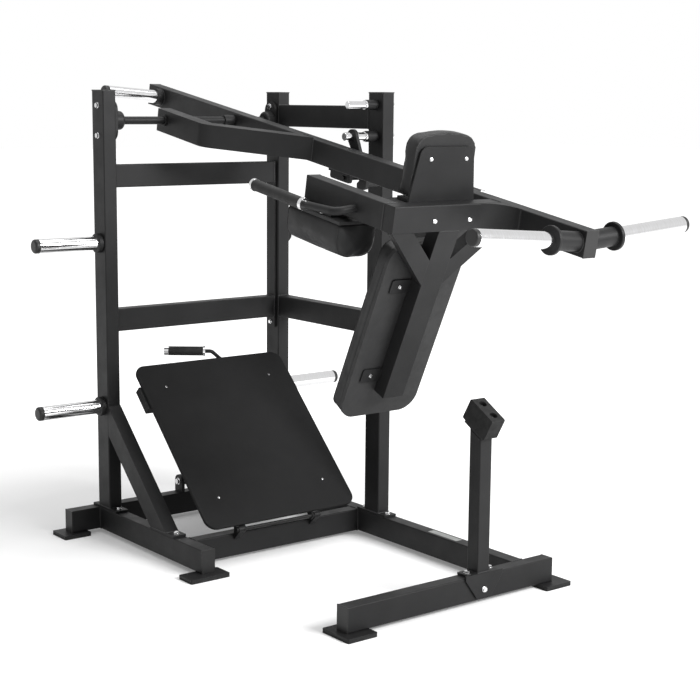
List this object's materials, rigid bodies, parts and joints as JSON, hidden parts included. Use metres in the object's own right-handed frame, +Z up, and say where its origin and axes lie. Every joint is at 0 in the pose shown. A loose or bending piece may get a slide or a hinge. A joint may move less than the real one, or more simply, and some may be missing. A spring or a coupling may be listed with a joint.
{
  "type": "hack squat machine",
  "caption": "Lever-arm squat machine: tube base and tower, tilted swing arm with back pad, shoulder pads and headrest, plate horns and a sloping foot plate.",
  "frame": {"origin": "on the floor, under the centre of the whole machine's bounding box", "axes": "+X is the side of the side frame and the free load horn, +Y points to the rear tower, +Z is up"},
  "size_m": [1.303, 2.4063, 1.619],
  "materials": {
    "powder_black": "fine-texture matte black powder coat",
    "chrome": "polished chrome plate",
    "cap_plastic": "moulded matt plastic",
    "rubber_black": "matt rubber",
    "grip_rubber": "soft foam rubber",
    "pad_vinyl": "grained black vinyl over foam",
    "pad_board": "black painted board",
    "foot_panel_black": "matt black textured sheet"
  },
  "bodies": {
    "frame": {"rear_crossbeam": "powder_black", "left_rail": "powder_black", "right_rail": "powder_black", "middle_crossbeam": "powder_black", "front_crossbeam": "powder_black", "left_upright": "powder_black", "rear_right_upright": "powder_black", "front_right_upright": "powder_black", "rear_ties": "powder_black", "side_ties": "powder_black", "left_brace": "powder_black", "flange_plates": "powder_black", "end_caps": "cap_plastic", "storage_sleeves": "chrome", "storage_collars": "powder_black", "foot_plates": "powder_black", "foot_pads": "rubber_black", "bearing_housings": "powder_black", "frame_bolts": "chrome", "stop_post": "powder_black", "stop_bumper": "rubber_black", "lock_pins": "chrome", "lock_pin_nuts": "chrome", "lock_pin_bosses": "powder_black", "hinge_lugs": "powder_black", "hinge_rod": "powder_black"},
    "lock_catch": {"lock_lever": "powder_black"},
    "foot_plate": {"foot_panel": "foot_panel_black", "foot_frame": "powder_black", "foot_screws": "chrome"},
    "strut_tube": {"strut_barrel": "powder_black"},
    "strut_slider": {"strut_rod": "chrome"},
    "release_lever": {"angle_lever": "powder_black", "angle_grip": "grip_rubber", "angle_grip_rings": "chrome"},
    "swing_arm": {"arm_bolts": "chrome", "arm_caps": "cap_plastic", "back_board": "pad_board", "back_cushion": "pad_vinyl", "back_tabs": "powder_black", "catch_lug": "powder_black", "fork_arm": "powder_black", "handle_bars": "powder_black", "handle_grips": "grip_rubber", "handle_rings": "chrome", "headrest_cushion": "pad_vinyl", "headrest_plate": "powder_black", "horn_bases": "powder_black", "horn_sleeves": "chrome", "left_shoulder_arm": "powder_black", "left_shoulder_cushion": "pad_vinyl", "main_arm": "powder_black", "pivot_shaft": "powder_black", "right_shoulder_cushion": "pad_vinyl", "shaft_collars": "powder_black", "shoulder_boards": "pad_board", "shoulder_hangers": "powder_black", "spine": "powder_black", "spine_braces": "powder_black", "yoke": "powder_black"}
  },
  "joints": [
    {"name": "arm_pivot", "type": "hinge", "parent": "frame", "child": "swing_arm", "pos_m": [0, 0.58875, 1.4835], "axis": [1, 0, 0], "range_deg": [-1, 20]},
    {"name": "lock_pivot", "type": "hinge", "parent": "frame", "child": "lock_catch", "pos_m": [0.2465, -0.02925, 1.438], "axis": [1, 0, 0], "range_deg": [-35, 0]},
    {"name": "foot_hinge", "type": "hinge", "parent": "frame", "child": "foot_plate", "pos_m": [0, 0.02275, 0.112], "axis": [1, 0, 0], "range_deg": [-4, 4]},
    {"name": "strut_swing", "type": "hinge", "parent": "frame", "child": "strut_tube", "pos_m": [0, 0.64475, 0.134], "axis": [1, 0, 0], "range_deg": [-0.84, 0.84]},
    {"name": "strut_slide", "type": "slide", "parent": "strut_tube", "child": "strut_slider", "axis": [0, -0.7509, 0.6604], "range_m": [-0.0319, 0.0319]},
    {"name": "release_pivot", "type": "hinge", "parent": "foot_plate", "child": "release_lever", "pos_m": [0.1045, 0.48892, 0.5508], "axis": [1, 0, 0], "range_deg": [-12, 0], "stiffness_Nm_per_rad": 2.5, "springref_deg": 34.38}
  ],
  "couplings": [
    {"joint": "strut_swing", "follows": "foot_hinge", "ratio": -0.13483},
    {"joint": "strut_slide", "follows": "foot_hinge", "m_per_rad": 0.42812}
  ]
}
